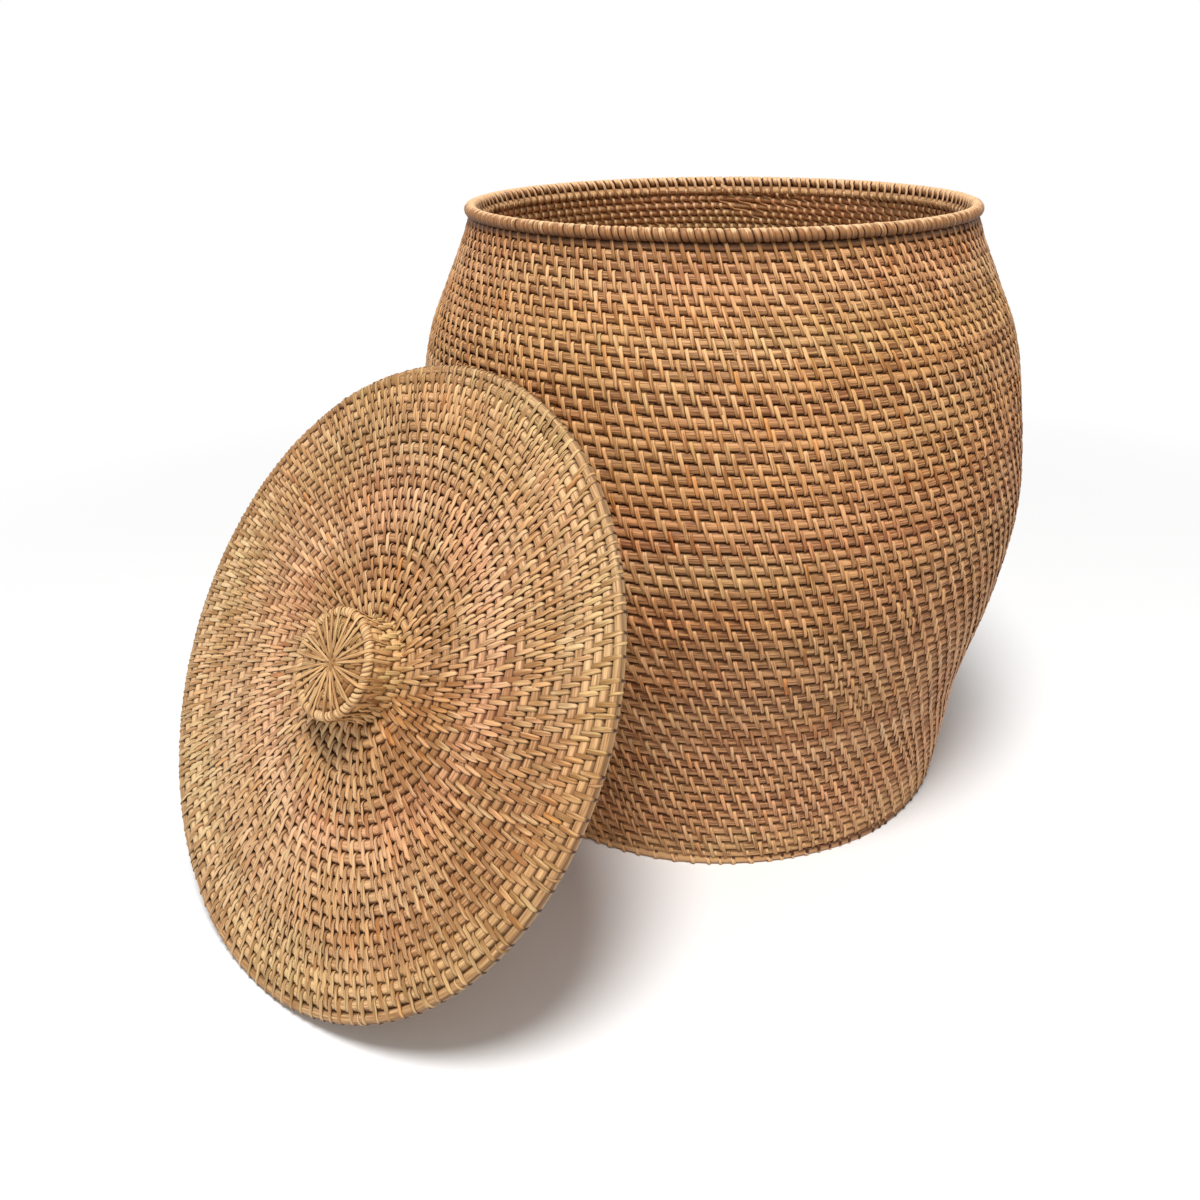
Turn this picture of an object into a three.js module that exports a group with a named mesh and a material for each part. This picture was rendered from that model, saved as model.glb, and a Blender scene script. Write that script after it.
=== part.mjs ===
// Coiled rattan laundry basket with a separate round lid that leans on its front.
//
// Millimetres, +Z up. The origin is on the floor under the middle of the basket, and the lid leans
// towards -Y. Basket and lid are both coils: a spiral of cane rods bound row on row by split cane.
// The binding strips lie in the thickness of the coil here, and each rod of a few rows is one solid.

import * as THREE from 'three';
import * as BufferGeometryUtils from 'three/addons/utils/BufferGeometryUtils.js';

// Gap between pieces that touch
const CLEARANCE = 0.3;

// Flats round each large circle, round the knob, round a hoop's bar and round its wrap
const SEGMENTS = 32;
const KNOB_SEGMENTS = 24;
const BAR_SIDES = 6;
const WRAP_SIDES = 8;

// Coil: a rod with a strip of split cane on each side of it
const COIL_THICKNESS = 8.2;

// Basket, outside sizes. The wall's outline goes through these heights and radii.
const BASKET_HEIGHT = 500;
const FOOT_HEIGHT = 14;
const FOOT_RADIUS = 203.5;
const FLARE_HEIGHT = 93;
const FLARE_RADIUS = 219;
const BELLY_HEIGHT = 262;
const BELLY_RADIUS = 254.5;
const SHOULDER_HEIGHT = 403;
const SHOULDER_RADIUS = 239.3;
const NECK_HEIGHT = 447;
const NECK_RADIUS = 223;

// How far above and below the belly the wall has drawn in, and by how much
const UPPER_BELLY_RISE = 78;
const UPPER_BELLY_DRAW = 4.9;
const UNDER_BELLY_DROP = 80;
const UNDER_BELLY_DRAW = 13.9;

// Length of the floor that the bend at the foot takes up
const FOOT_BEND = 14;

// Rows of the spiral in each rod: four rods in the floor, then rods of equal height up the wall
const FLOOR_ROD_ROWS = [5, 6, 6, 6];
const WALL_RODS = 16;
const WALL_ROD_ROWS = 4;

// Rim: a hoop, close-wrapped, on the outer corner of the top row
const RIM_HOOP_RADIUS = 204;
const HOOP_ROD_DIAMETER = 6;
const WRAP_THICKNESS = 0.9;
const RIM_OVERHANG = 4;

// Lid: a flat coil with a wrapped hoop at its edge and a ring below that enters the mouth
const LID_OVERHANG = 19.5;
const LID_ROD_ROWS = [4, 6, 6, 5, 5];
const LOCATING_RING_HEIGHT = 6;
const LOCATING_RING_WIDTH = 8;
const MOUTH_PLAY = 4;

// Knob, on the middle of the lid
const KNOB_RADIUS = 38;
const KNOB_NECK_RADIUS = 27;
const KNOB_HEIGHT = 31;
const KNOB_COIL_THICKNESS = 7;
const KNOB_SIDE_ROWS = 3;
const STAR_ARMS = 24;
const STAR_ARM_WIDTH = 2.6;
const STAR_THICKNESS = 0.9;

// Where the lid rests: its tilt back from upright, and its sideways offset from the basket's middle
const LID_TILT = THREE.MathUtils.degToRad(29.7);
const LID_SIDE_OFFSET = -11.4;

// Points tried round the lid's edge and up the wall to find where the lid meets the wall, and how
// near to it the found place has to be
const EDGE_STEPS = 128;
const WALL_STEPS = 400;
const REST_TOLERANCE = 0.01;

const RATTAN = { color: 0xc49a66, roughness: 0.62, metalness: 0 };
const RATTAN_DARK = { color: 0xa97c4c, roughness: 0.68, metalness: 0 };
const RATTAN_PALE = { color: 0xd9b682, roughness: 0.58, metalness: 0 };

const basket = new THREE.Group();
const lid = new THREE.Group();

function addPiece(parent, name, geometry, look) {
  const mesh = new THREE.Mesh(geometry, new THREE.MeshStandardMaterial(look));
  mesh.name = name;
  parent.add(mesh);
  return mesh;
}

// Closed solid from points and triangles. Points that coincide are joined, and triangles that
// have no area because of it are dropped.
function solidFrom(points, triangles) {
  const places = new THREE.BufferGeometry();
  places.setAttribute('position', new THREE.Float32BufferAttribute(points.flatMap((p) => p.toArray()), 3));
  places.setIndex(triangles.flat());
  const merged = BufferGeometryUtils.mergeVertices(places, 1e-3);
  const kept = [];
  const index = merged.index.array;
  for (let i = 0; i < index.length; i += 3) {
    const [a, b, c] = index.slice(i, i + 3);
    if (a !== b && b !== c && c !== a) kept.push(a, b, c);
  }
  merged.setIndex(kept);
  const geometry = merged.toNonIndexed();
  geometry.computeVertexNormals();
  return geometry;
}

// Ring or tube swept round Z from a closed outline of (radius, height) points
function ringSolid(outline, segments) {
  const closed = outline.map(([radius, height]) => new THREE.Vector2(radius, height));
  closed.push(closed[0].clone());
  return new THREE.LatheGeometry(closed, segments).rotateX(Math.PI / 2);
}

// A coil's cross-section: the outside line from the axis outwards, and the coil's thickness. A
// station is a distance along the outside line. side 0 is the outside face, and 1 the inside one.
function coilSection(path, thickness) {
  const length = path.getLength();
  return {
    length,
    at(station, side, angle) {
      const share = Math.min(station / length, 1);
      const point = path.getPoint(share);
      const along = path.getTangent(share);
      const depth = side * thickness;
      const radius = Math.max(point.x - along.z * depth, 0);
      const height = point.z + along.x * depth;
      return new THREE.Vector3(radius * Math.cos(angle), radius * Math.sin(angle), height);
    },
  };
}

// One rod of the spiral, as a closed solid. low and high give the stations of its edges after a
// share of the turn: a spiral edge climbs by one row in the turn, and a level edge stays. After a
// full turn the rod runs on into itself, and the lines between its edges end on the next ones up.
// Its far end stops short of the next rod's start.
function coilRod(section, low, high, segments, lines) {
  const points = [];
  const triangles = [];
  const column = (turn, stations) => [0, 1].map((side) => stations.map((station) => {
    points.push(section.at(station, side, 2 * Math.PI * (turn % 1)));
    return points.length - 1;
  }));
  const quad = (a, b, c, d) => triangles.push([a, b, c], [a, c, d]);

  const rises = high(1) > high(0);
  const endGap = rises ? CLEARANCE / (2 * Math.PI * section.at(high(0), 0, 0).x) : 0;
  const stop = (line) => THREE.MathUtils.lerp(low(1), high(0), line / lines);
  const turns = Array.from({ length: segments }, (_, i) => i / segments);
  turns.push(1 - endGap);
  const columns = turns.map((turn) => {
    const stations = [low(turn)];
    for (let line = 0; line < lines; line += 1) {
      stations.push(THREE.MathUtils.lerp(stop(line), stop(line + 1), turn / (1 - endGap)));
    }
    return column(turn, [...stations, high(turn)]);
  });
  if (rises) columns.push(column(1, Array.from({ length: lines + 1 }, (_, line) => stop(line))));

  for (let i = 1; i < columns.length; i += 1) {
    const [outer, inner] = columns[i - 1];
    const [nextOuter, nextInner] = columns[i];
    const top = nextOuter.length - 1;
    for (let line = 0; line < top; line += 1) {
      quad(outer[line], nextOuter[line], nextOuter[line + 1], outer[line + 1]);
      quad(inner[line], inner[line + 1], nextInner[line + 1], nextInner[line]);
    }
    quad(outer[0], inner[0], nextInner[0], nextOuter[0]);
    quad(outer[top], nextOuter[top], nextInner[top], inner[top]);
  }
  const [startOuter, startInner] = columns[0];
  if (low(1) > low(0)) quad(startOuter[0], startOuter[1], startInner[1], startInner[0]);
  const [endOuter, endInner] = columns[segments];
  if (rises) quad(endOuter[lines], endInner[lines], endInner[lines + 1], endOuter[lines + 1]);
  return solidFrom(points, triangles);
}

// Edge of a rod at a row of the spiral, moved along by a small gap
function spiralEdge(row, pitch, gap) {
  return (turn) => (row + turn) * pitch + gap;
}

// Every rod of a spiral coil that starts at the axis and ends in a level edge. The rod that bends
// sharply has a line along each of its rows, and the others have one between their edges.
function coilRods(section, rowCounts, bentRod) {
  const rows = rowCounts.reduce((sum, count) => sum + count, 0);
  const pitch = section.length / rows;
  let row = 0;
  return rowCounts.map((count, index) => {
    const first = index === 0;
    const last = index === rowCounts.length - 1;
    const low = first ? () => 0 : spiralEdge(row, pitch, CLEARANCE / 2);
    row += count;
    const high = last ? () => section.length : spiralEdge(row, pitch, -CLEARANCE / 2);
    return coilRod(section, low, high, SEGMENTS, index === bentRod ? count - 1 : 1);
  });
}

// Round bar bent into a ring of the given radius, at a height
function barRing(radius, height, barRadius, segments) {
  const outline = [];
  for (let side = 0; side < BAR_SIDES; side += 1) {
    const angle = (2 * Math.PI * side) / BAR_SIDES;
    outline.push([radius + barRadius * Math.cos(angle), height + barRadius * Math.sin(angle)]);
  }
  return ringSolid(outline, segments);
}

// Wrap round a hoop's bar. It is open along the side at slitAngle, where its strips run on into
// the coil.
function hoopWrap(radius, height, slitAngle) {
  const slitHalf = Math.PI / WRAP_SIDES;
  const arc = (barRadius) => {
    const places = [];
    for (let side = 0; side < WRAP_SIDES; side += 1) {
      const share = side / (WRAP_SIDES - 1);
      const angle = slitAngle + THREE.MathUtils.lerp(slitHalf, 2 * Math.PI - slitHalf, share);
      places.push([radius + barRadius * Math.cos(angle), height + barRadius * Math.sin(angle)]);
    }
    return places;
  };
  return ringSolid([...arc(wrapOuter), ...arc(wrapInner).reverse()], SEGMENTS);
}

// Radii of a hoop's bar and of its wrap. The wrap's flats clear the bar.
const hoopRadius = HOOP_ROD_DIAMETER / 2;
const wrapInner = (hoopRadius + CLEARANCE) / Math.cos(Math.PI / WRAP_SIDES);
const wrapOuter = wrapInner + WRAP_THICKNESS;

// Outside line of the basket: floor, bend of the foot, wall up to the underside of the rim
const rimHeight = BASKET_HEIGHT - wrapOuter;
const mouthRadius = RIM_HOOP_RADIUS + wrapOuter - RIM_OVERHANG;
const mouthHeight = rimHeight - Math.sqrt(
  (wrapOuter + CLEARANCE) ** 2 - (mouthRadius - RIM_HOOP_RADIUS) ** 2,
);
const wallPoints = [
  [FOOT_RADIUS, FOOT_HEIGHT],
  [FLARE_RADIUS, FLARE_HEIGHT],
  [BELLY_RADIUS - UNDER_BELLY_DRAW, BELLY_HEIGHT - UNDER_BELLY_DROP],
  [BELLY_RADIUS, BELLY_HEIGHT],
  [BELLY_RADIUS - UPPER_BELLY_DRAW, BELLY_HEIGHT + UPPER_BELLY_RISE],
  [SHOULDER_RADIUS, SHOULDER_HEIGHT],
  [NECK_RADIUS, NECK_HEIGHT],
  [mouthRadius, mouthHeight],
].map(([radius, height]) => new THREE.Vector3(radius, 0, height));
const wallLine = new THREE.CatmullRomCurve3(wallPoints, false, 'centripetal');
const footSlope = (FLARE_RADIUS - FOOT_RADIUS) / (FLARE_HEIGHT - FOOT_HEIGHT);
const footCorner = new THREE.Vector3(FOOT_RADIUS - footSlope * FOOT_HEIGHT, 0, 0);
const floorEdge = new THREE.Vector3(footCorner.x - FOOT_BEND, 0, 0);
const basketPath = new THREE.CurvePath();
basketPath.add(new THREE.LineCurve3(new THREE.Vector3(0, 0, 0), floorEdge));
basketPath.add(new THREE.QuadraticBezierCurve3(floorEdge, footCorner, wallPoints[0]));
basketPath.add(wallLine);

const basketSection = coilSection(basketPath, COIL_THICKNESS);
const wallRodRows = Array.from({ length: WALL_RODS }, () => WALL_ROD_ROWS);
const basketRows = [...FLOOR_ROD_ROWS, ...wallRodRows];
const footRod = FLOOR_ROD_ROWS.length;
coilRods(basketSection, basketRows, footRod).forEach((geometry, index) => {
  const onWall = index - footRod + 1;
  if (index === 0) addPiece(basket, 'base_start_coil', geometry, RATTAN_DARK);
  else if (onWall < 1) addPiece(basket, `base_coil_${index + 1}`, geometry, RATTAN_DARK);
  else addPiece(basket, `wall_coil_${String(onWall).padStart(2, '0')}`, geometry, RATTAN);
});

const rimBar = barRing(RIM_HOOP_RADIUS, rimHeight, hoopRadius, SEGMENTS);
addPiece(basket, 'rim_hoop', rimBar, RATTAN_DARK);
const mouthInnerRadius = mouthRadius - COIL_THICKNESS;
const rimSlit = Math.atan2(mouthHeight - rimHeight, mouthInnerRadius - RIM_HOOP_RADIUS);
addPiece(basket, 'rim_wrap', hoopWrap(RIM_HOOP_RADIUS, rimHeight, rimSlit), RATTAN_PALE);

// Lid, built lying flat about its own axis, with the middle of its thickness at height 0. It
// reaches past the rim all round.
const lidTop = COIL_THICKNESS / 2;
const lidHoopRadius = RIM_HOOP_RADIUS + LID_OVERHANG;
const lidPath = new THREE.CurvePath();
lidPath.add(new THREE.LineCurve3(
  new THREE.Vector3(0, 0, -lidTop),
  new THREE.Vector3(lidHoopRadius - wrapOuter - CLEARANCE, 0, -lidTop),
));
coilRods(coilSection(lidPath, COIL_THICKNESS), LID_ROD_ROWS).forEach((geometry, index) => {
  const name = index === 0 ? 'lid_start_coil' : `lid_coil_${index + 1}`;
  addPiece(lid, name, geometry, RATTAN);
});
addPiece(lid, 'lid_edge_hoop', barRing(lidHoopRadius, 0, hoopRadius, SEGMENTS), RATTAN_DARK);
addPiece(lid, 'lid_edge_wrap', hoopWrap(lidHoopRadius, 0, Math.PI), RATTAN_PALE);

const ringOuter = mouthInnerRadius - MOUTH_PLAY;
const ringInner = ringOuter - LOCATING_RING_WIDTH;
const ringTop = -lidTop - CLEARANCE;
const ringFoot = ringTop - LOCATING_RING_HEIGHT;
const ringOutline = [
  [ringInner, ringFoot],
  [ringOuter, ringFoot],
  [ringOuter, ringTop],
  [ringInner, ringTop],
];
addPiece(lid, 'lid_locating_ring', ringSolid(ringOutline, SEGMENTS), RATTAN_DARK);

// Knob: a flared coil, a flat coil in its mouth, a wrapped ring round both and a star of strips
const knobTop = lidTop + KNOB_HEIGHT;
const knobBarRadius = KNOB_COIL_THICKNESS / 2;
const knobBarHeight = knobTop - STAR_THICKNESS - CLEARANCE - knobBarRadius;
const knobRingRadius = KNOB_RADIUS - knobBarRadius;
const knobFoot = lidTop + CLEARANCE;
const knobSideTop = knobBarHeight - knobBarRadius - CLEARANCE;
const knobSidePath = new THREE.CurvePath();
knobSidePath.add(new THREE.QuadraticBezierCurve3(
  new THREE.Vector3(KNOB_NECK_RADIUS, 0, knobFoot),
  new THREE.Vector3(KNOB_NECK_RADIUS, 0, (knobFoot + knobSideTop) / 2),
  new THREE.Vector3(knobRingRadius + knobBarRadius / 2, 0, knobSideTop),
));
const knobSection = coilSection(knobSidePath, KNOB_COIL_THICKNESS);
const knobSideOutline = [0, 1].flatMap((side) => {
  const places = [];
  for (let row = 0; row <= KNOB_SIDE_ROWS; row += 1) {
    const place = knobSection.at((knobSection.length * row) / KNOB_SIDE_ROWS, side, 0);
    places.push([place.x, THREE.MathUtils.clamp(place.z, knobFoot, knobSideTop)]);
  }
  return side === 0 ? places : places.reverse();
});
addPiece(lid, 'knob_side_coil', ringSolid(knobSideOutline, KNOB_SEGMENTS), RATTAN);
const knobTopRadius = knobRingRadius - knobBarRadius - CLEARANCE;
const knobTopCoil = new THREE.CylinderGeometry(
  knobTopRadius,
  knobTopRadius,
  KNOB_COIL_THICKNESS,
  KNOB_SEGMENTS,
);
knobTopCoil.rotateX(Math.PI / 2).translate(0, 0, knobBarHeight);
addPiece(lid, 'knob_top_coil', knobTopCoil, RATTAN_DARK);
const knobRing = barRing(knobRingRadius, knobBarHeight, knobBarRadius, KNOB_SEGMENTS);
addPiece(lid, 'knob_edge_ring', knobRing, RATTAN_PALE);

const starShape = new THREE.Shape();
const hubRadius = STAR_ARM_WIDTH / (2 * Math.sin(Math.PI / STAR_ARMS));
const starTip = Math.sqrt(knobRingRadius ** 2 - (STAR_ARM_WIDTH / 2) ** 2);
for (let arm = 0; arm < STAR_ARMS; arm += 1) {
  const angle = (2 * Math.PI * arm) / STAR_ARMS;
  const along = new THREE.Vector2(Math.cos(angle), Math.sin(angle));
  const across = new THREE.Vector2(-along.y, along.x).multiplyScalar(STAR_ARM_WIDTH / 2);
  const right = along.clone().multiplyScalar(starTip).sub(across);
  const left = along.clone().multiplyScalar(starTip).add(across);
  const notchAngle = angle + Math.PI / STAR_ARMS;
  if (arm === 0) starShape.moveTo(right.x, right.y);
  else starShape.lineTo(right.x, right.y);
  starShape.lineTo(left.x, left.y);
  starShape.lineTo(hubRadius * Math.cos(notchAngle), hubRadius * Math.sin(notchAngle));
}
starShape.closePath();
const star = new THREE.ExtrudeGeometry(starShape, { depth: STAR_THICKNESS, bevelEnabled: false });
star.translate(0, 0, knobTop - STAR_THICKNESS);
addPiece(lid, 'knob_star_wrap', star, RATTAN_PALE);

// The lid stands on its edge on the floor
lid.rotation.x = Math.PI / 2 - LID_TILT;
lid.position.x = LID_SIDE_OFFSET;
lid.position.z = -new THREE.Box3().setFromObject(lid, true).min.z;
lid.updateMatrix();

// Share of the wall's radius that its flats leave in a direction
function flatShare(angle) {
  const flat = (2 * Math.PI) / SEGMENTS;
  return Math.cos(flat / 2) / Math.cos(THREE.MathUtils.euclideanModulo(angle, flat) - flat / 2);
}

// Gap between the wall and a bar round the lid when the lid's middle is at a distance from the axis
const wallPlaces = wallLine.getPoints(WALL_STEPS);
function barGap(radius, height, barRadius, distance) {
  const gaps = Array.from({ length: EDGE_STEPS }, (_, step) => {
    const angle = (2 * Math.PI * step) / EDGE_STEPS;
    const place = new THREE.Vector3(radius * Math.cos(angle), radius * Math.sin(angle), height);
    place.applyMatrix4(lid.matrix);
    place.y -= distance;
    const reach = Math.hypot(place.x, place.y) / flatShare(Math.atan2(place.y, place.x));
    return Math.min(...wallPlaces.map((wall) => Math.hypot(wall.x - reach, wall.z - place.z)));
  });
  return Math.min(...gaps) - barRadius;
}

// It leans back until its edge, or the ring below it, meets the wall
const leanGap = (distance) => Math.min(
  barGap(lidHoopRadius, 0, wrapOuter, distance),
  barGap(ringOuter, ringFoot, 0, distance),
);
let lidDistance = BELLY_RADIUS + lidHoopRadius;
while (leanGap(lidDistance) > CLEARANCE + REST_TOLERANCE) {
  lidDistance -= leanGap(lidDistance) - CLEARANCE;
}
lid.position.y = -lidDistance;

const group = new THREE.Group();
group.add(basket, lid);
export default group;
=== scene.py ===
# Looks of the coiled rattan laundry basket and of its lid, which leans on its front.
#
# Basket, lid and knob are coils: a spiral of round rods, bound row on row by strips of split cane.
# Every stitch is modelled, and the strip runs on from stitch to stitch as it does on the real
# basket. Lengths are in millimetres until a mesh is made, which is in metres.

import math

import bpy
import numpy as np
from mathutils import Matrix, Vector


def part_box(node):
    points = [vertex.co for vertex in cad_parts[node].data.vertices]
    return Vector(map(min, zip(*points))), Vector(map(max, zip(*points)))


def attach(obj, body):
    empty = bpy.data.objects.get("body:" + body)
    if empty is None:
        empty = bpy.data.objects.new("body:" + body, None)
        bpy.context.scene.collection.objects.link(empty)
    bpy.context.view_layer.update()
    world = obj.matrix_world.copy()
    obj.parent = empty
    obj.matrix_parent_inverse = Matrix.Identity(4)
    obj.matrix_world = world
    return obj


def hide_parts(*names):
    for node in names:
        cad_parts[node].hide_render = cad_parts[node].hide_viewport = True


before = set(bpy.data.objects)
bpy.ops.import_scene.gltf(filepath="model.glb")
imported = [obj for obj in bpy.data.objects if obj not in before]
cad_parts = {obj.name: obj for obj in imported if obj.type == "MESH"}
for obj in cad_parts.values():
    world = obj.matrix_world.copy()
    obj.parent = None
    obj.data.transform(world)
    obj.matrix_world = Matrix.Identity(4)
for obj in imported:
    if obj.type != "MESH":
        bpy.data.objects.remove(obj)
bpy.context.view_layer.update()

MM = 0.001
TURN = 2 * math.pi
UP = np.array((0.0, 0, 1))
random = np.random.default_rng(11)

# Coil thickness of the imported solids, and how far the floor's rods stand above the ground
COIL_THICKNESS = 8.2
FLOOR_LIFT = 1.2

# Bend from the floor into the wall, and the number of points up the wall that give its slope
FOOT_BEND = 6
FOOT_FLARE = 4.5
BEND_STEPS = 12
SLOPE_POINTS = 8

# Points along the line of a coil
LINE_STEP = 1
FINE_STEP = 0.5
SMOOTHING = 11

# Distance between the basket's rows, by height up the wall
ROW_PITCH = (
    (158, 8.35), (187, 8.8), (214, 8.8), (239, 8.4), (262, 8.4), (284, 8),
    (305, 7.75), (366, 7.75), (386, 7.65), (405, 7.55), (440, 7.5),
)

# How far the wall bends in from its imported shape, by height up the wall
WAISTS = (
    (0, -1), (25, 0.3), (60, 1.2), (98, 3.2), (141, 2), (180, 0), (380, 0), (402, 0.8), (434, 2.8),
    (472, 3), (484, 1.5), (500, 0.5),
)
LID_ROW_PITCH = 8.42
FLOOR_ROWS = (5, 6, 6, 6)
LID_ROWS = (4, 6, 6, 5, 5)
WALL_PIECES = 16

# A row's rod, as a share of the row's height, and its sides and steps
ROD_SHARE = 0.488
ROD_SIDES = 12
ROD_BEARINGS = TURN * np.arange(ROD_SIDES) / ROD_SIDES
ROD_STEP = 6.5
ROD_CELL = 6
MEASURES = 64

# Sway of a rod's thickness, line and tone: size and seed
ROD_SWELL = (0.012, 5)
ROD_SWAY = (0.1, 8)
TONE_SWAY = (0.04, 3)
WAVES_PER_TURN = (7.3, 13.7, 23.1)
LEAST_WAVE = 0.3

# Curl of the rod at the middle of a coil, in turns, and its rounded end there
CURL = 0.4
HEART_STEPS = 6
HEART_STEP = 1.5
HEART_SHARE = 0.96
HEART_REACH = 6
HEART_ANGLE = 1.4

# Rods of the lid's edge and of the basket's top row, and how far short of its end the lid's spiral
# stops, in turns
EDGE_ROD = 3.75
EDGE_ROOM = 0.65
EDGE_TIGHTNESS = 0.4
TOP_ROD = 4.1
END_GAP = 0.001

# The spiral's seam is at the back. Near its end the rows lie level and step up at the seam.
SEAM = math.radians(130)
STEP_START = 0.9

# Strips of split cane: thickness, section as shares of width and thickness, and the painted shade of the
# sides, darkest at the edges
STRIP_THICKNESS = 0.9
STRIP_PROFILE = (
    (-0.5, -0.5), (-0.5, 0.05), (-0.43, 0.34), (-0.2, 0.46), (0.2, 0.46), (0.43, 0.34), (0.5, 0.05),
    (0.5, -0.5),
)
ROUND_PROFILE = (
    (-0.5, -0.5), (-0.5, -0.12), (-0.4, 0.22), (-0.16, 0.48), (0.16, 0.48), (0.4, 0.22), (0.5, -0.12),
    (0.5, -0.5),
)
PAINTED_SIDE_SHADE = np.array((1, 0.55, 0.12, 0, 0, 0.12, 0.55, 1))

# Distance between stitches along a row, by height up the wall
WALL_SPACING = (
    (89, 12), (168, 12.7), (239, 12.5), (298, 12.1), (352, 11.7), (405, 11.1), (455, 10.1),
)
LID_SPACING = ((0, 8.6), (60, 9.2), (190, 9.4), (228, 10.6))

# How stitches follow those of the row before: the spacing from which on they stand aside in full,
# and how much they even out
FULL_SHIFT = 9
EVENING = 0.22

# One stitch: the rod it lies on (0 above, 1 below, 0.5 across the gap), its bearing round that rod
# in degrees, and how far it has leant over. The last places are on the inside, where the strip
# crosses over between the rods and lies on the stitch before.
STITCH_ROD, STITCH_BEARING, STITCH_LEAN = np.array((
    (0, 115, 0), (0, 76, 0), (0, 42, 0.06), (0, 12, 0.2), (0.5, 0, 0.5), (1, -12, 0.8),
    (1, -45, 0.94), (1, -80, 1), (1, -115, 1),
    (1, -150, 0.02), (1, -180, 0.08), (1, -222, 0.2), (0, 222, 0.8), (0, 180, 0.92), (0, 145, 0.98),
)).T
WALL_TAPER = (1.05, 1.05, 1.05, 1.03, 1, 0.97, 0.92, 0.85, 0.85, 0.8, 0.8, 0.8, 0.8, 0.9, 1)
LID_TAPER = (0.5, 0.6, 0.85, 1.02, 1.1, 1.02, 0.85, 0.6, 0.5, 0.8, 0.8, 0.8, 0.8, 0.8, 0.75)
OUTSIDE = 9
OVERLAP = [12, 13, 14]
OVERLAP_LIFT = (0.4, 0.8, 0.3)

# How a stitch's lean, sag between the rods, roll and other measures spread
LEAN_SPREAD = 0.45
SAG = 0.35
SAG_SPREAD = 0.1
STRIP_ROLL = 0.16
PLACE_SPREAD = 0.22
LIFT_SPREAD = 0.12
WIDTH_SPREAD = 0.07

# Where the painted shade in the cleft between rows starts on a rod's side towards the axis and on
# its other side, as the sine of the bearing, and where it is full
WALL_CLEFT = (0.62, 0.8)
LID_CLEFT = (0.7, 0.7)
CLEFT_FULL = (0.95, 0.97)

# How deep the first places of a stitch lie in the cleft, and the painted light and shade along its
# outside: lighter at the top, darker at the bottom, as under a lamp above
STITCH_SUNK = (1, 1.3, 0)
OUTSIDE_PAINTED_LIGHT = (0.15, 0.15, 0.18, 0.1, -0.02, -0.12, -0.25, -0.35, -0.35)


def smooth_step(share):
    share = np.clip(share, 0, 1)
    return share * share * (3 - 2 * share)


def by_height(table, height):
    return np.interp(height, *zip(*table))


def vary(size, count):
    return random.normal(0, size, count)


def node_points(name):
    """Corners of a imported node, in millimetres."""
    return np.array([corner.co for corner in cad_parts[name].data.vertices]) / MM


def line_length(line):
    steps = np.linalg.norm(np.diff(line, axis=0), axis=1)
    return np.concatenate(([0], np.cumsum(steps)))


def even_line(line, step):
    """The line again with points a step apart."""
    length = line_length(line)
    stations = np.linspace(0, length[-1], int(length[-1] / step) + 1)
    return np.column_stack([np.interp(stations, length, line[:, k]) for k in (0, 1)])


def headings(line, *stations):
    """Unit directions along a line."""
    along = np.gradient(line, *stations, axis=0)
    return along / np.linalg.norm(along, axis=1)[:, None]


def curve(start, middle, end, steps):
    """Points of a bend from start to end, drawn towards the middle."""
    share = np.linspace(0, 1, steps)[:, None]
    return (1 - share) ** 2 * start + 2 * share * (1 - share) * middle + share ** 2 * end


def flat_line(reach, height, step):
    return even_line(np.array([(0, height), (reach, height)]), step)


def basket_line():
    """The rods' centres in the floor and the wall, as (radius, height) points."""
    wall = np.concatenate([node_points(name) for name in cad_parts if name.startswith("wall_")])
    radius, height = np.hypot(wall[:, 0], wall[:, 1]), wall[:, 2]
    level = np.abs(height[:, None] - height[None, :]) < COIL_THICKNESS / 2
    outermost = np.where(level, radius[None, :], 0).max(axis=1)
    outside = (radius > outermost - COIL_THICKNESS / 2) & (height > FOOT_BEND)
    heights = np.arange(FOOT_BEND, height.max(), COIL_THICKNESS)
    heights = np.append(heights, height.max())
    slopes = [np.polyfit(height[near] - z, radius[near], 1)[1] for z in heights
              for near in [outside & (np.abs(height - z) < COIL_THICKNESS)]]
    side = even_line(np.column_stack([slopes, heights]), LINE_STEP)
    padded = np.pad(side, ((SMOOTHING // 2,) * 2, (0, 0)), mode="reflect", reflect_type="odd")
    kernel = np.ones(SMOOTHING) / SMOOTHING
    side = np.column_stack([np.convolve(padded[:, k], kernel, "valid") for k in (0, 1)])
    side[:, 0] -= by_height(WAISTS, side[:, 1])
    out, rise = side[SLOPE_POINTS] - side[0]
    corner = side[0, 0] - out * FOOT_BEND / rise + FOOT_FLARE
    bend = curve((corner - FOOT_BEND, FLOOR_LIFT), (corner, FLOOR_LIFT), side[0], BEND_STEPS)[:-1]
    smooth = even_line(np.vstack([[(0, FLOOR_LIFT)], bend, side]), LINE_STEP / 2)
    along = headings(smooth)
    inwards = np.column_stack([-along[:, 1], along[:, 0]])
    return even_line(smooth + inwards * COIL_THICKNESS / 2, LINE_STEP)


def outwards(angle):
    """Level directions away from the axis."""
    return np.stack([np.cos(angle), np.sin(angle), np.zeros_like(angle)], axis=-1)


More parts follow.
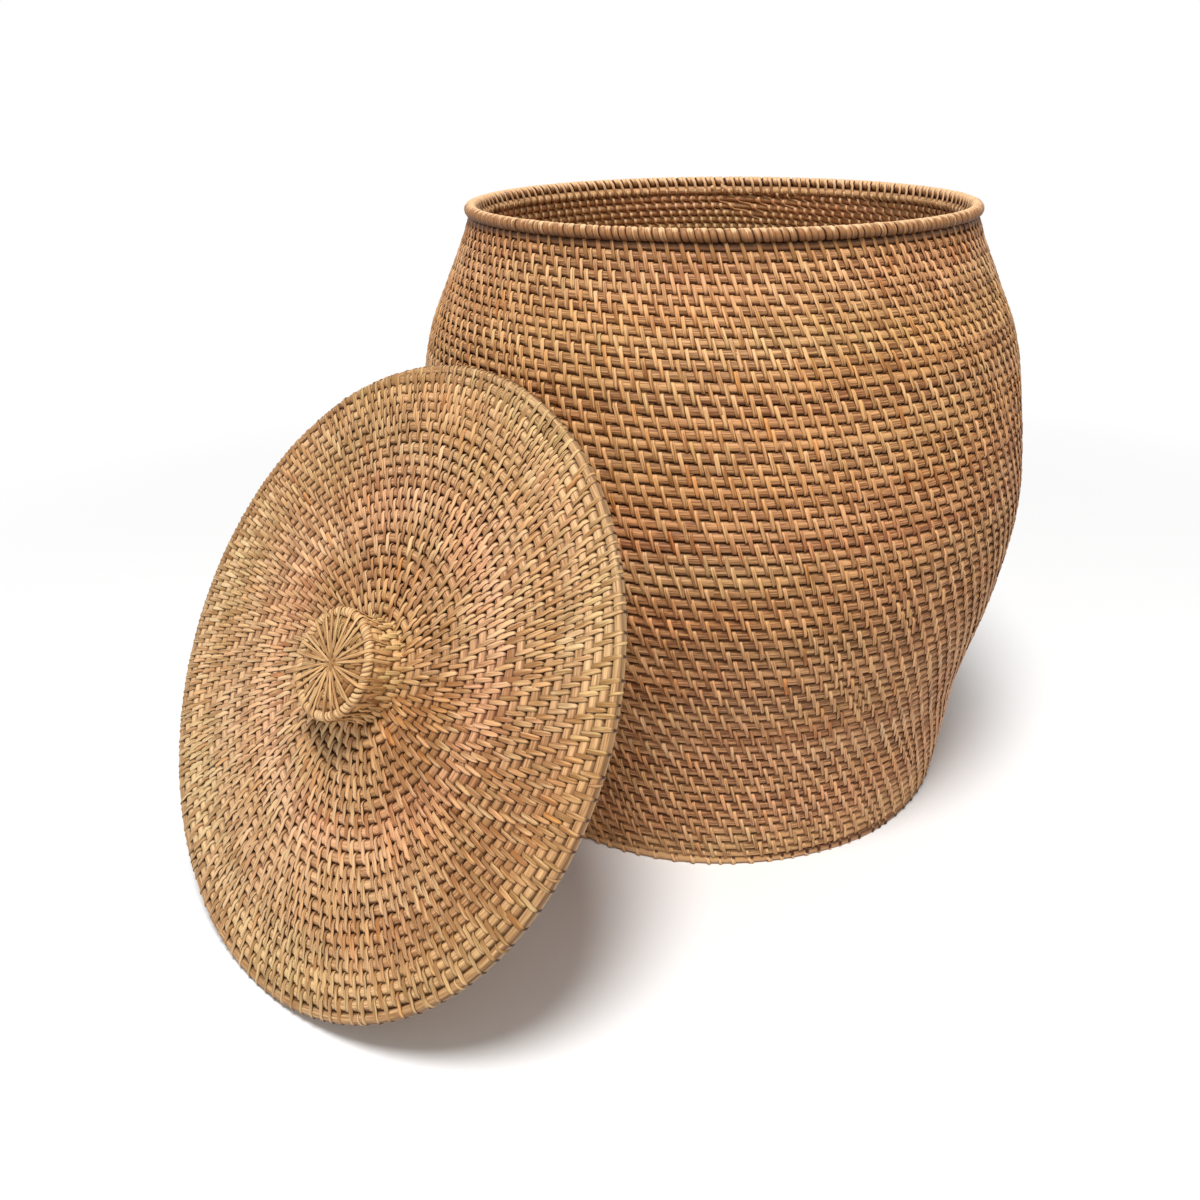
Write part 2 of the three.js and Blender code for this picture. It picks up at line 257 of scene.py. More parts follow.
class Coil:
    """Spiral of rods on a surface of revolution. The line of the rods' centres runs outwards from
    the axis, and the coil's outside is on its right where face is 1 and on its left where it is
    -1. A place on the spiral is given in turns from its start."""

    # side_shade is the painted shade of the strips' sides, pale a change of the coil's tone, and cleft
    # the share of the painted cleft shade
    def __init__(self, line, face, pitch, levelled, spacing, lean, width, edge_rod=None,
                 body="lid", side_shade=0.7, pale=0, cleft=1):
        self.line, self.face, self.levelled, self.edge_rod = line, face, levelled, edge_rod
        self.spacing, self.lean, self.width = spacing, lean, width
        self.body, self.side_shade, self.pale, self.cleft = body, side_shade, pale, cleft
        self.taper = LID_TAPER if body == "lid" else WALL_TAPER
        self.cleft_from = LID_CLEFT if body == "lid" else WALL_CLEFT
        station = line_length(line)
        self.along = headings(line, station)
        pitch = np.broadcast_to(pitch, len(line))
        per_step = np.diff(station) / ((pitch[1:] + pitch[:-1]) / 2)
        row_at = np.concatenate(([0], np.cumsum(per_step)))
        self.rows = round(row_at[-1])
        self.row_at = row_at * self.rows / row_at[-1]
        self.pitch_at = pitch * row_at[-1] / self.rows

    def row(self, turn):
        """Row that the spiral has climbed to."""
        whole = np.floor(turn)
        part = turn - whole
        steady = np.clip((self.rows - 1 - whole) / self.levelled, 0, 1)
        jump = np.where(whole < self.rows - 1, smooth_step((part - STEP_START) / (1 - STEP_START)), 0)
        return whole + steady * part + (1 - steady) * jump + 0.5

    def at(self, turn, values):
        return np.interp(self.row(turn), self.row_at, values)

    def radius(self, turn):
        return self.at(turn, self.line[:, 0])

    def rod_radius(self, turn):
        radius = ROD_SHARE * self.at(turn, self.pitch_at)
        if self.edge_rod:
            radius = np.where(turn >= self.rows - 1, self.edge_rod, radius)
        return radius

    def around(self, turn, bearing=0, reach=0):
        """Places at a reach from the rod's middle, and the directions to them. Bearing 0 faces
        outside, and a quarter turn faces away from the axis along the coil."""
        along_r, along_z = self.at(turn, self.along[:, 0]), self.at(turn, self.along[:, 1])
        out_r = along_r * np.sin(bearing) + self.face * along_z * np.cos(bearing)
        out_z = along_z * np.sin(bearing) - self.face * along_r * np.cos(bearing)
        round_axis = outwards(SEAM + TURN * turn)
        away = round_axis * out_r[..., None] + UP * out_z[..., None]
        middle = round_axis * self.radius(turn)[..., None]
        middle = middle + UP * self.at(turn, self.line[:, 1])[..., None]
        return middle + away * np.asarray(reach)[..., None], away


class Ring:
    """Round hoop about the axis. Bearing 0 faces away from the axis, and a quarter turn faces up."""

    def __init__(self, radius, height):
        self.radius, self.height = radius, height

    def around(self, turn, bearing, reach):
        round_axis = outwards(SEAM + TURN * turn)
        away = round_axis * np.cos(bearing)[..., None] + UP * np.sin(bearing)[..., None]
        middle = round_axis * self.radius + UP * self.height
        return middle + away * np.asarray(reach)[..., None], away


def stitch_turns(coil, first):
    """Where a coil's stitches start, from the axis outwards. Those of a row stand a strip's width
    and half a lean aside from those of the row before."""
    count = int(TURN * coil.radius(np.array(first)) / by_height(coil.spacing, 0))
    turns = first + np.arange(count) / count
    found = []
    while turns[0] < coil.rows:
        found.append(turns)
        radius = coil.radius(turns)
        where = coil.at(turns, coil.line[:, 1]) if coil.face > 0 else radius
        spacing = by_height(coil.spacing, where)
        shift = (coil.width + coil.lean / 2) * np.minimum(1, spacing / FULL_SHIFT)
        step = 1 - coil.face * shift / (TURN * radius)
        ahead = turns + step
        before = np.concatenate(([turns[-1]], ahead[:-1]))
        after = np.concatenate((ahead[1:], [ahead[0] + step[0]]))
        ahead = ahead + EVENING * ((before + after) / 2 - ahead)
        gaps = np.diff(np.append(ahead, ahead[0] + step[0]))
        wanted = int(round(np.sum(gaps * TURN * radius / spacing)))
        while len(ahead) != wanted:
            room = gaps * np.interp(ahead, turns + step, radius)
            if len(ahead) < wanted:
                widest = np.argmax(room)
                ahead = np.insert(ahead, widest + 1, ahead[widest] + gaps[widest] / 2)
            else:
                ahead = np.delete(ahead, np.argmin(room))
            gaps = np.diff(np.append(ahead, ahead[0] + step[0]))
        turns = ahead
    turns = np.concatenate(found)
    return turns[turns < coil.rows]


# Bake map: place of a tube's ends in their cell, margin of a cell, and how the map grows until all
# cells fit
END_CELL = ((0, 0), (0.2, 0), (0.2, 0.04), (0, 0.04))
CELL_MARGIN = 0.04
MAP_ROOM = 1.02
MAP_GROWTH = 1.01


def corner_map(u0, v0, u1, v1, shape):
    """The four corners of every face on a map."""
    corners = [np.broadcast_to(x, shape) for x in (u0, v0, u1, v0, u1, v1, u0, v1)]
    return np.stack(corners, axis=-1).reshape(-1, 2)


class Surface:
    """Points, faces, maps and tints of one piece, gathered before its mesh is made."""

    def __init__(self):
        self.points, self.faces, self.grain = [], [], []
        self.tint, self.cells, self.kinds = [], [], []
        self.count = 0

    def add_tube(self, rings, girth, along, tint, joined, cell_steps, kind):
        """Adds tubes of closed rings. girth and along are distances round a ring and along the row,
        and joined says where a ring goes on to the next. A cell is a stretch that gets its own
        place on the bake map. kind is 0 for rods and 1 for strips."""
        rows, sides = rings.shape[:2]
        starts = np.flatnonzero(joined)
        corner = self.count + starts[:, None] * sides
        here = np.arange(sides)
        there = (here + 1) % sides
        far = corner + sides
        quads = np.stack([corner + here, corner + there, far + there, far + here], axis=-1)
        u0, u1 = girth[:-1], girth[1:]
        v0, v1 = along[starts][:, None], along[starts + 1][:, None]
        shape = (len(starts), sides)
        part = (starts % cell_steps)[:, None] / cell_steps
        local = corner_map(u0 / girth[-1], part, u1 / girth[-1], part + 1 / cell_steps, shape)
        cell = np.broadcast_to((starts // cell_steps)[:, None, None], shape + (4,)).reshape(-1)
        self.faces.append(quads.reshape(-1, 4))
        self.grain.append(corner_map(u0, v0, u1, v1, shape))
        self.cells.append((local, cell, girth[-1], np.median(np.diff(along)[starts]) * cell_steps))
        self.add_ends(rings, girth, along, joined, cell_steps)
        self.points.append(rings.reshape(-1, 3))
        self.tint.append(tint.reshape(-1, 4))
        self.count += rows * sides
        made = sum(map(len, self.faces)) - sum(map(len, self.kinds))
        self.kinds.append(np.full(made, kind))

    def add_ends(self, rings, girth, along, joined, cell_steps):
        """Closes the tubes' ends."""
        sides = rings.shape[1]
        before = np.concatenate(([False], joined[:-1]))
        for at_end, order in ((joined & ~before, 1), (before & ~joined, -1)):
            rows = np.flatnonzero(at_end)
            cell = np.repeat(np.minimum(rows, len(joined) - 2) // cell_steps, 4)
            for k in range(sides // 2 - 1):
                ladder = np.array([k, sides - 1 - k, sides - 2 - k, k + 1])[::order]
                grain = np.stack(np.broadcast_arrays(girth[ladder], along[rows][:, None]), axis=-1)
                self.faces.append(self.count + rows[:, None] * sides + ladder)
                self.grain.append(grain.reshape(-1, 2))
                self.cells.append((np.tile(END_CELL, (len(rows), 1)), cell, girth[-1], -1))


def bake_map(cells):
    """Gives each cell its own place in a square map, in rows of like cells."""
    groups, sizes = [], []
    for local, cell, width, height in cells:
        if height > 0:
            groups.append([(local, cell)])
            sizes.append((width, height, cell.max() + 1))
        else:
            groups[-1].append((local, cell))
    side = math.sqrt(sum(w * h * n for w, h, n in sizes)) * MAP_ROOM
    while True:
        floors, height = [], 0
        for w, h, n in sizes:
            floors.append(height)
            height += math.ceil(n / int(side / w)) * h
        if height <= side:
            break
        side *= MAP_GROWTH
    maps = []
    for group, (w, h, n), floor in zip(groups, sizes, floors):
        across = int(side / w)
        for local, cell in group:
            spot = np.column_stack([cell % across, cell // across]) + CELL_MARGIN
            spot = spot + (1 - 2 * CELL_MARGIN) * local
            maps.append((spot * (w, h) + (0, floor)) / side)
    return np.concatenate(maps)


def add_object(name, data):
    made = bpy.data.objects.new(name, data)
    bpy.context.scene.collection.objects.link(made)
    return made


def fill(items, field, values, kind=np.float32):
    items.foreach_set(field, values.astype(kind).ravel())


def make_piece(name, surface, body, nodes, matrix=None):
    """Makes a surface's mesh object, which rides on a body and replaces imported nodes."""
    points = np.concatenate(surface.points) * MM
    if matrix is not None:
        points = points @ np.array(matrix.to_3x3()).T + np.array(matrix.translation)
    points[:, 2] = np.maximum(points[:, 2], 0)
    faces = np.concatenate(surface.faces)
    mesh = bpy.data.meshes.new(name)
    mesh.vertices.add(len(points))
    fill(mesh.vertices, "co", points)
    mesh.loops.add(faces.size)
    fill(mesh.loops, "vertex_index", faces, np.int32)
    mesh.polygons.add(len(faces))
    fill(mesh.polygons, "loop_start", np.arange(0, faces.size, 4), np.int32)
    mesh.update(calc_edges=True)
    fill(mesh.polygons, "use_smooth", np.ones(len(faces)), bool)
    fill(mesh.uv_layers.new(name="Grain").data, "uv", np.concatenate(surface.grain))
    fill(mesh.uv_layers.new(name="OFBake").data, "uv", bake_map(surface.cells))
    tint = mesh.attributes.new("Tint", "FLOAT_COLOR", "POINT")
    fill(tint.data, "color", np.concatenate(surface.tint))
    kinds = np.concatenate(surface.kinds)
    used = np.unique(kinds)
    for kind in used:
        mesh.materials.append(canes[body][kind])
    fill(mesh.polygons, "material_index", np.searchsorted(used, kinds), np.int32)
    piece = add_object(name, mesh)
    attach(piece, body)
    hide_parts(*nodes)


def strip_rings(places, facing, joined, width, thickness, profile):
    """Rings of a strip's crowned profile along a path. facing points away from what it lies on."""
    ahead = np.diff(places, axis=0) * joined[:-1, None]
    run = np.zeros_like(places)
    run[:-1] += ahead
    run[1:] += ahead
    run /= np.maximum(np.linalg.norm(run, axis=1), 1e-9)[:, None]
    across = np.cross(run, facing)
    across /= np.linalg.norm(across, axis=1)[:, None]
    rise = np.cross(across, run)
    profile = np.array(profile)
    x = profile[:, 0] * np.asarray(width).reshape(-1, 1)
    y = profile[:, 1] * np.asarray(thickness).reshape(-1, 1)
    return places[:, None] + across[:, None] * x[..., None] + rise[:, None] * y[..., None]


def add_strip(surface, places, facing, joined, tint, width, side_shade,
              thickness=STRIP_THICKNESS, profile=STRIP_PROFILE):
    """Adds strips through rows of places. joined says where a place goes on to the next."""
    steps = places.shape[1]
    places, joined = places.reshape(-1, 3), joined.ravel()
    rings = strip_rings(places, facing.reshape(-1, 3), joined, width, thickness, profile)
    tint = np.repeat(tint.reshape(-1, 1, 4), len(profile), axis=1)
    # Painted shade on the strip's sides
    tint[..., 3] = np.maximum(tint[..., 3], side_shade * PAINTED_SIDE_SHADE)
    profile = np.array(profile) * (np.mean(width), np.mean(thickness))
    girth = line_length(np.vstack([profile, profile[:1]]))
    surface.add_tube(rings, girth, line_length(places), tint, joined, steps, 1)


def binder_path(coil, turns):
    """Places, facings and widths of every section of the strip that makes the stitches."""
    count = len(turns)
    girth = TURN * coil.radius(turns)
    gap = np.diff(np.append(turns, 2 * turns[-1] - turns[-2]))
    lean = coil.lean + vary(LEAN_SPREAD, count)
    start = turns + vary(PLACE_SPREAD, count) / girth
    lean_turns = coil.face * lean / girth
    outside = np.arange(len(STITCH_ROD)) < OUTSIDE
    side = np.where(outside, lean_turns[:, None] * STITCH_LEAN,
                    lean_turns[:, None] + (gap[:, None] - lean_turns[:, None]) * STITCH_LEAN)
    place_turn = start[:, None] + side - np.round(STITCH_ROD)
    lift = np.abs(vary(LIFT_SPREAD, count))[:, None] * outside
    above, below = (coil.rod_radius(at)[:, None] + STRIP_THICKNESS / 2 + lift
                    for at in (start, np.maximum(start - 1, 0)))
    reach = np.where(STITCH_ROD == 1, below, above)
    reach[:, OVERLAP] += OVERLAP_LIFT
    if coil.body == "basket":
        reach[:, :len(STITCH_SUNK)] -= STITCH_SUNK
    if coil.edge_rod:
        reach -= np.where(place_turn >= coil.rows - 1, EDGE_TIGHTNESS, 0)
    places, facing = coil.around(place_turn, np.radians(STITCH_BEARING), reach)
    mid = np.flatnonzero(STITCH_ROD == 0.5)[0]
    spot = start + side[:, mid]
    over, over_facing = coil.around(spot, 0, reach[:, mid])
    under, _ = coil.around(spot - 1, 0, reach[:, mid + 1])
    sag = SAG + vary(SAG_SPREAD, count)
    places[:, mid] = (over + under) / 2 - over_facing * sag[:, None]
    facing[:, mid] = over_facing
    sideways = np.cross(UP, outwards(SEAM + TURN * place_turn))
    facing = facing + sideways * (vary(STRIP_ROLL, count)[:, None] * outside)[..., None]
    width = coil.width * (1 + vary(WIDTH_SPREAD, count))[:, None] * np.array(coil.taper)
    return places, facing, width


def rod_turns(coil, start, end):
    """Turns of a rod's steps, equally long."""
    fine = np.linspace(start, end, int((end - start) * MEASURES) + 2)
    across = coil.radius(fine[1:]) + coil.radius(fine[:-1])
    length = np.concatenate(([0], np.cumsum(np.diff(fine) * TURN * across / 2)))
    steps = int(length[-1] / ROD_STEP)
    return np.interp(np.linspace(0, length[-1], steps + 1), length, fine), length[-1] / steps


def wavy(turn, size, seed):
    """Slow sway of a rod about its line."""
    waves = np.random.default_rng(seed)
    result = np.zeros_like(turn)
    for count in WAVES_PER_TURN:
        result += np.sin(TURN * (turn * count + waves.random())) * waves.uniform(LEAST_WAVE, 1)
    return result * size


def add_bar(surface, rings, radius, step, tint, cell_steps):
    """Adds the tube of a rod, from its rings."""
    girth = radius * TURN * np.arange(ROD_SIDES + 1) / ROD_SIDES
    steps = np.arange(len(rings))
    surface.add_tube(rings, girth, steps * step, tint, steps < steps[-1], cell_steps, 0)


def add_rod(surface, coil, start, end):
    """Adds a stretch of the spiral's rod."""
    turn, step = rod_turns(coil, start, end)
    radius = coil.rod_radius(turn) * (1 + wavy(turn, *ROD_SWELL))
    rings, _ = coil.around(turn[:, None], ROD_BEARINGS, radius[:, None])
    rings = rings + (coil.around(turn)[1] * wavy(turn, *ROD_SWAY)[:, None])[:, None]
    tint = rod_tint(coil, turn, ROD_BEARINGS)
    if coil.face < 0:
        rings, tint = rings[:, ::-1], tint[:, ::-1]
    add_bar(surface, rings, radius.mean(), step, tint, ROD_CELL)


def add_heart(surface, coil):
    """Adds the rod's rounded end in the middle of the coil."""
    slant = np.linspace(-HEART_ANGLE, HEART_ANGLE, HEART_STEPS + 1)[:, None]
    radius = coil.rod_radius(np.array(0)) * HEART_SHARE
    x = HEART_REACH * np.sin(slant)
    y = -HEART_REACH * np.cos(slant) * np.sin(ROD_BEARINGS)
    z = coil.line[0, 1] - radius * np.cos(slant) * np.cos(ROD_BEARINGS)
    rings = np.stack(np.broadcast_arrays(x, y, z), axis=-1)
    tint = rod_tint(coil, np.zeros(HEART_STEPS + 1), ROD_BEARINGS)
    add_bar(surface, rings, radius, HEART_STEP, tint, HEART_STEPS)


# Tone of the cane, and how it differs by length of rod (in turns), by length of strip (in
# stitches) and by stitch. A few stitches are much warmer.
MID_TONE = 0.5
ROD_LENGTH = (1, 2.4)
ROD_TONE = 0.18
STRIP_LENGTH = (30, 80)
STRIP_TONE, STRIP_WARMTH, STRIP_OLIVE = 0.15, 0.08, 0.04
STITCH_TONE, STITCH_WARMTH, STITCH_OLIVE = 0.08, 0.06, 0.06
RED_SHARE, RED_WARMTH = 0.025, 0.35

# On the coil's inside, painted light: the rod's change of tone (painted light) and warmth and its
# loss of painted shade, and the factors of a strip's tint and what is added to it (painted light on
# the tone, less warmth and half the painted shade)
INSIDE_PAINTED_LIGHT, INSIDE_WARMTH, INSIDE_SHADE = 1.3, -0.05, 0.8
STRIP_FACTORS, STRIP_CHANGE = (1, 1, 1, 0.5), (1.4, -0.1, 0, 0)

# Painted shadow of the rim on the top row's rod: sine of the bearing where it starts, and its fade
RIM_SHADOW_FROM = -0.4
RIM_SHADOW_FADE = 0.7


def rod_tones(rows):
    """Tone of each rod length of the spiral, and where it ends, in turns."""
    ends, tones = [], []
    turn = 0
    while turn < rows:
        turn += random.uniform(*ROD_LENGTH)
        ends.append(turn)
        tones.append(random.normal(0, 1))
    return np.array(ends), np.array(tones)


def painted_cleft_shade(coil, bearing):
    """Painted shade in the cleft between two rows: how deep a place lies in it, by its bearing round the
    rod.
    """
    side = np.sin(bearing)
    deep = [smooth_step((way * side - start) / (full - start))
            for way, start, full in zip((-1, 1), coil.cleft_from, CLEFT_FULL)]
    return np.maximum(*deep) * coil.cleft


def rod_tint(coil, turn, bearing):
    """Tints along a rod: tone, warmth, olive share and painted cleft shade. The inside is painted paler,
    as painted light.
    """
    ends, values = coil.tones
    rod = np.minimum(np.searchsorted(ends, turn), len(ends) - 1)
    warm, olive, pale = patches(coil.around(turn)[0], coil)
    inside = smooth_step(0.5 - np.cos(bearing))
    tone = MID_TONE + ROD_TONE * values[rod] + wavy(turn, *TONE_SWAY) + pale
    # Painted light on the coil's inside, and painted shade in the clefts
    tone = tone[:, None] + INSIDE_PAINTED_LIGHT * inside
    shade = painted_cleft_shade(coil, bearing) * (1 - INSIDE_SHADE * inside)
    if coil.body == "basket":
        # Painted shadow of the rim on the upper side of the top row's rod
        rim_shadow = smooth_step((np.sin(bearing) - RIM_SHADOW_FROM) / RIM_SHADOW_FADE) * (1 - inside)
        shade = np.maximum(shade, np.where(turn[:, None] >= coil.rows - 1, rim_shadow, 0))
    warm, olive = warm[:, None] + INSIDE_WARMTH * inside, olive[:, None]
    return np.stack(np.broadcast_arrays(tone, warm, olive, shade), axis=-1)


# Warmth, olive share and paleness of the cane, by height up the wall and by radius on the lid. Part
# of the wall's paleness is painted light and shade.
WALL_WARMTH = (
    (0, 0.28), (50, 0.34), (205, 0.3), (232, 0.56), (258, 0.34), (275, 0.34), (290, 0.46), (370, 0.46),
    (440, 0.36), (478, 0.34), (485, 0.25),
)
WALL_OLIVE = (
    (20, 0.52), (50, 0.38), (140, 0.4), (175, 0.5), (245, 0.52), (262, 0.66), (278, 0.5), (292, 0.38),
    (320, 0.56), (375, 0.58), (440, 0.66), (468, 0.46), (478, 0.45), (485, 0.55),
)
# Paler at the foot as painted light from the floor, and darkest at the top row as the painted shadow of
# the rim
WALL_PALENESS = (
    (0, 0.15), (25, 0.08), (50, -0.02), (80, -0.02), (95, 0), (165, -0.02), (185, -0.12), (200, -0.14),
    (215, -0.06), (245, -0.07), (262, 0.02), (275, -0.18), (305, -0.18), (320, -0.02), (395, 0),
    (410, -0.14), (425, -0.1), (440, 0.16), (455, -0.16), (470, 0), (480, -0.2), (486, -0.75),
)
LID_WARMTH = ((40, 0.32), (80, 0.3), (112, 0.27), (144, 0.22), (192, 0.24), (215, 0.16))
LID_OLIVE = (
    (36, 0.64), (48, 0.54), (80, 0.48), (105, 0.28), (130, 0.26), (150, 0.44), (180, 0.5), (208, 0.56),
)
LID_PALENESS = (
    (48, 0), (64, -0.16), (80, -0.2), (112, 0.02), (144, 0.04), (160, -0.06), (176, -0.08),
    (208, 0), (216, 0.05), (223, 0.12),
)

# Paleness and warmth of the lid and paleness of its edge, by bearing in degrees
LID_SIDE_PALENESS = (
    (0, -0.17), (30, 0), (120, -0.06), (150, 0.05), (210, 0.18), (240, 0.12), (270, 0.12), (300, 0.04),
    (335, -0.22), (360, -0.17),
)
LID_SIDE_WARMTH = (
    (0, 0.15), (30, 0.02), (60, 0.04), (150, 0.04), (180, 0), (225, -0.12), (280, 0), (330, 0.2),
    (360, 0.15),
)
LID_EDGE_PALENESS = (
    (0, -0.05), (60, -0.1), (130, -0.3), (180, -0.45), (290, -0.45), (325, -0.1), (360, -0.05),
)
LID_EDGE_FROM = 213
LID_EDGE_FADE = 5

# Drift of the warmth and the olive share over a coil, as the product of two waves: their number
# round the coil, their length along it, and where they start
DRIFT = 0.1
WARM_WAVES = ((5, -14, 1), (2, 45, 0))
OLIVE_WAVES = ((3, 17, 0), (4, -29, 2))


def drift(waves, angle, reach):
    first, second = (np.sin(count * angle + reach / fade + start) for count, fade, start in waves)
    return DRIFT * first * second


def patches(place, coil):
    """Warmth, olive share and paleness of the cane, by place."""
    angle = np.arctan2(place[:, 1], place[:, 0])
    if coil.body == "basket":
        reach, tables = place[:, 2], (WALL_WARMTH, WALL_OLIVE, WALL_PALENESS)
    else:
        reach, tables = np.hypot(place[:, 0], place[:, 1]), (LID_WARMTH, LID_OLIVE, LID_PALENESS)
    warm, olive, pale = (by_height(table, reach) for table in tables)
    if coil.body == "lid":
        side = np.degrees(angle) % 360
        edge = smooth_step((reach - LID_EDGE_FROM) / LID_EDGE_FADE)
        pale = pale + by_height(LID_SIDE_PALENESS, side) + edge * by_height(LID_EDGE_PALENESS, side)
        warm = warm + by_height(LID_SIDE_WARMTH, side)
    warm, olive = warm + drift(WARM_WAVES, angle, reach), olive + drift(OLIVE_WAVES, angle, reach)
    return warm, olive, pale + coil.pale


def stitch_tint(coil, turns):
    """Tints of the stitches, and where the strip goes on. Each length of strip has its tone, and
    each stitch differs a little."""
    count = len(turns)
    lengths = random.integers(*STRIP_LENGTH, count // STRIP_LENGTH[0] + 2)
    strip = np.searchsorted(np.cumsum(lengths), np.arange(count), side="right")
    strip_tone, strip_warm = (vary(1, len(lengths) + 1)[strip] for _ in range(2))
    warm, olive, pale = patches(coil.around(turns)[0], coil)
    tone = MID_TONE + STRIP_TONE * strip_tone + vary(STITCH_TONE, count) + pale
    warm = warm + STRIP_WARMTH * strip_warm + vary(STITCH_WARMTH, count)
    warm = warm + np.where(random.random(count) < RED_SHARE, RED_WARMTH, 0)
    olive = olive + STRIP_OLIVE * vary(1, len(lengths) + 1)[strip] + vary(STITCH_OLIVE, count)
    # Painted shade in the clefts, none where the strip crosses the gap between the rods
    shade = np.where(STITCH_ROD == 0.5, 0, painted_cleft_shade(coil, np.radians(STITCH_BEARING)))
    columns = (tone[:, None], warm[:, None], olive[:, None], shade)
    tint = np.stack(np.broadcast_arrays(*columns), axis=-1)
    # Painted light and shade along the outside of each stitch
    tint[:, :OUTSIDE, 0] += OUTSIDE_PAINTED_LIGHT
    # Painted light on the inside: paler strips with half the painted shade, and less warmth
    tint[:, OUTSIDE:] = tint[:, OUTSIDE:] * STRIP_FACTORS + STRIP_CHANGE
    joined = np.ones(tint.shape[:2], dtype=bool)
    joined[:-1, -1] = np.diff(strip) == 0
    return tint, joined


def strip_islands(surface, places, facing, tint, width, side_shade=0.6, shade=0, pale=0, **build):
    """Adds a strip for each row of places. shade, a painted shade, and pale, a change of tone, run along
    each strip.
    """
    shape = places.shape[:2]
    tint = np.repeat(tint[:, None], shape[1], axis=1)
    tint[..., 0] += pale
    tint[..., 3] = shade
    joined = np.broadcast_to(np.arange(shape[1]) < shape[1] - 1, shape)
    add_strip(surface, places, facing, joined, tint, width, side_shade, **build)


# Short loops round the edge row's rod, between its stitches: their bearings and widths, and the
# share of gaps that have one, by the side of the lid in degrees
LOOP_BEARINGS = (195, 165, 135, 105, 80, 55, 32, 10, -12, -36, -58)
LOOP_WIDTHS = (1.2, 1.7, 2, 2.1, 2.1, 2.1, 2, 1.8, 1.5, 1.2, 1)
LOOP_LEAN = 4
LOOP_SPREAD = 0.07
LOOP_SHARE = ((0, 0.35), (90, 0.6), (150, 0.95), (200, 0.95), (250, 0.3), (310, 0.15), (360, 0.35))
LOOP_SEED = 23


def add_loops(surface, coil, turns, tint):
    """Adds the short loops between the stitches of the edge row."""
    draw = np.random.default_rng(LOOP_SEED)
    gap = np.diff(turns)
    spot = turns[:-1] + gap * draw.normal(0.5, LOOP_SPREAD, len(gap))
    side = np.degrees(SEAM + TURN * spot) % 360
    chosen = draw.random(len(gap)) < by_height(LOOP_SHARE, side)
    spot, tint = spot[chosen], tint[:-1][chosen]
    lean = LOOP_LEAN * np.linspace(-0.5, 0.5, len(LOOP_BEARINGS)) / (TURN * coil.radius(spot))[:, None]
    turn = np.clip(spot[:, None] + coil.face * lean, coil.rows - 1, coil.rows - END_GAP)
    reach = coil.edge_rod + STRIP_THICKNESS / 2 - EDGE_TIGHTNESS
    places, facing = coil.around(turn, np.radians(LOOP_BEARINGS), reach)
    width = np.tile(LOOP_WIDTHS, len(spot))
    strip_islands(surface, places, facing, tint, width, side_shade=coil.side_shade)


def coil_pieces(coil, names, edges, matrix=None, first=1.3, heart=False, hoop=None):
    """Makes the pieces of a coil, from their names and the turns between them. first is the turn of
    the first stitch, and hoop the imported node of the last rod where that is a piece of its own."""
    turns = stitch_turns(coil, first)
    places, facing, width = binder_path(coil, turns)
    tint, joined = stitch_tint(coil, turns)
    coil.tones = rod_tones(coil.rows)
    for name, start, end in zip(names, edges[:-1], edges[1:]):
        own = (turns >= start) & (turns < end)
        surface = Surface()
        on = joined[own]
        on[-1, -1] = False
        add_strip(surface, places[own], facing[own], on, tint[own], width[own], coil.side_shade)
        rods = surface
        if hoop and name == names[-1]:
            add_loops(surface, coil, turns[own], tint[own, 3])
            rods = Surface()
        add_rod(rods, coil, start if start > 0 else -CURL, end)
        if start == 0 and heart:
            add_heart(rods, coil)
        if rods is not surface:
            make_piece(hoop + "_rod", rods, coil.body, [hoop], matrix)
        make_piece(name + "_weave", surface, coil.body, [name], matrix)


def srgb(red, green, blue):
    """Colour for a shader from the values 0 to 255 of a picture."""
    shares = [value / 255 for value in (red, green, blue)]
    linear = [s / 12.92 if s <= 0.04045 else ((s + 0.055) / 1.055) ** 2.4 for s in shares]
    return (*linear, 1)


class Nodes:
    """Adds and links the nodes of a material or a world."""

    def __init__(self, owner):
        self.owner = owner
        owner.use_nodes = True
        self.tree = owner.node_tree
        self.shader = self.tree.nodes.get("Principled BSDF")

    def put(self, node, inputs):
        """Links a node's inputs to sockets or gives them values."""
        for key, value in inputs.items():
            if isinstance(value, bpy.types.NodeSocket):
                self.tree.links.new(value, node.inputs[key])
            else:
                node.inputs[key].default_value = value

    def add(self, kind, inputs, **settings):
        node = self.tree.nodes.new(kind)
        for key, value in settings.items():
            setattr(node, key, value)
        self.put(node, inputs)
        return node.outputs

    def math(self, operation, first, second=0, third=0):
        inputs = {0: first, 1: second, 2: third}
        return self.add("ShaderNodeMath", inputs, operation=operation)[0]

    def mix(self, factor, first, second, blend="MIX"):
        inputs = {0: factor, 6: first, 7: second}
        return self.add("ShaderNodeMix", inputs, data_type="RGBA", blend_type=blend)[2]


# What a full warmth, pinkness, olive share and painted cleft shade each multiply a colour by
WARM = srgb(245, 196, 140)
PINK = srgb(255, 238, 255)
OLIVE = srgb(238, 255, 238)
PAINTED_SHADE = srgb(84, 44, 24)

# Effect of the cane's clouds on the colour, and of its fibres on the roughness
CLOUD_SHARE = 0.8
FIBRE_ROUGHNESS = 0.25
ROUGHNESS_DROP = 0.12


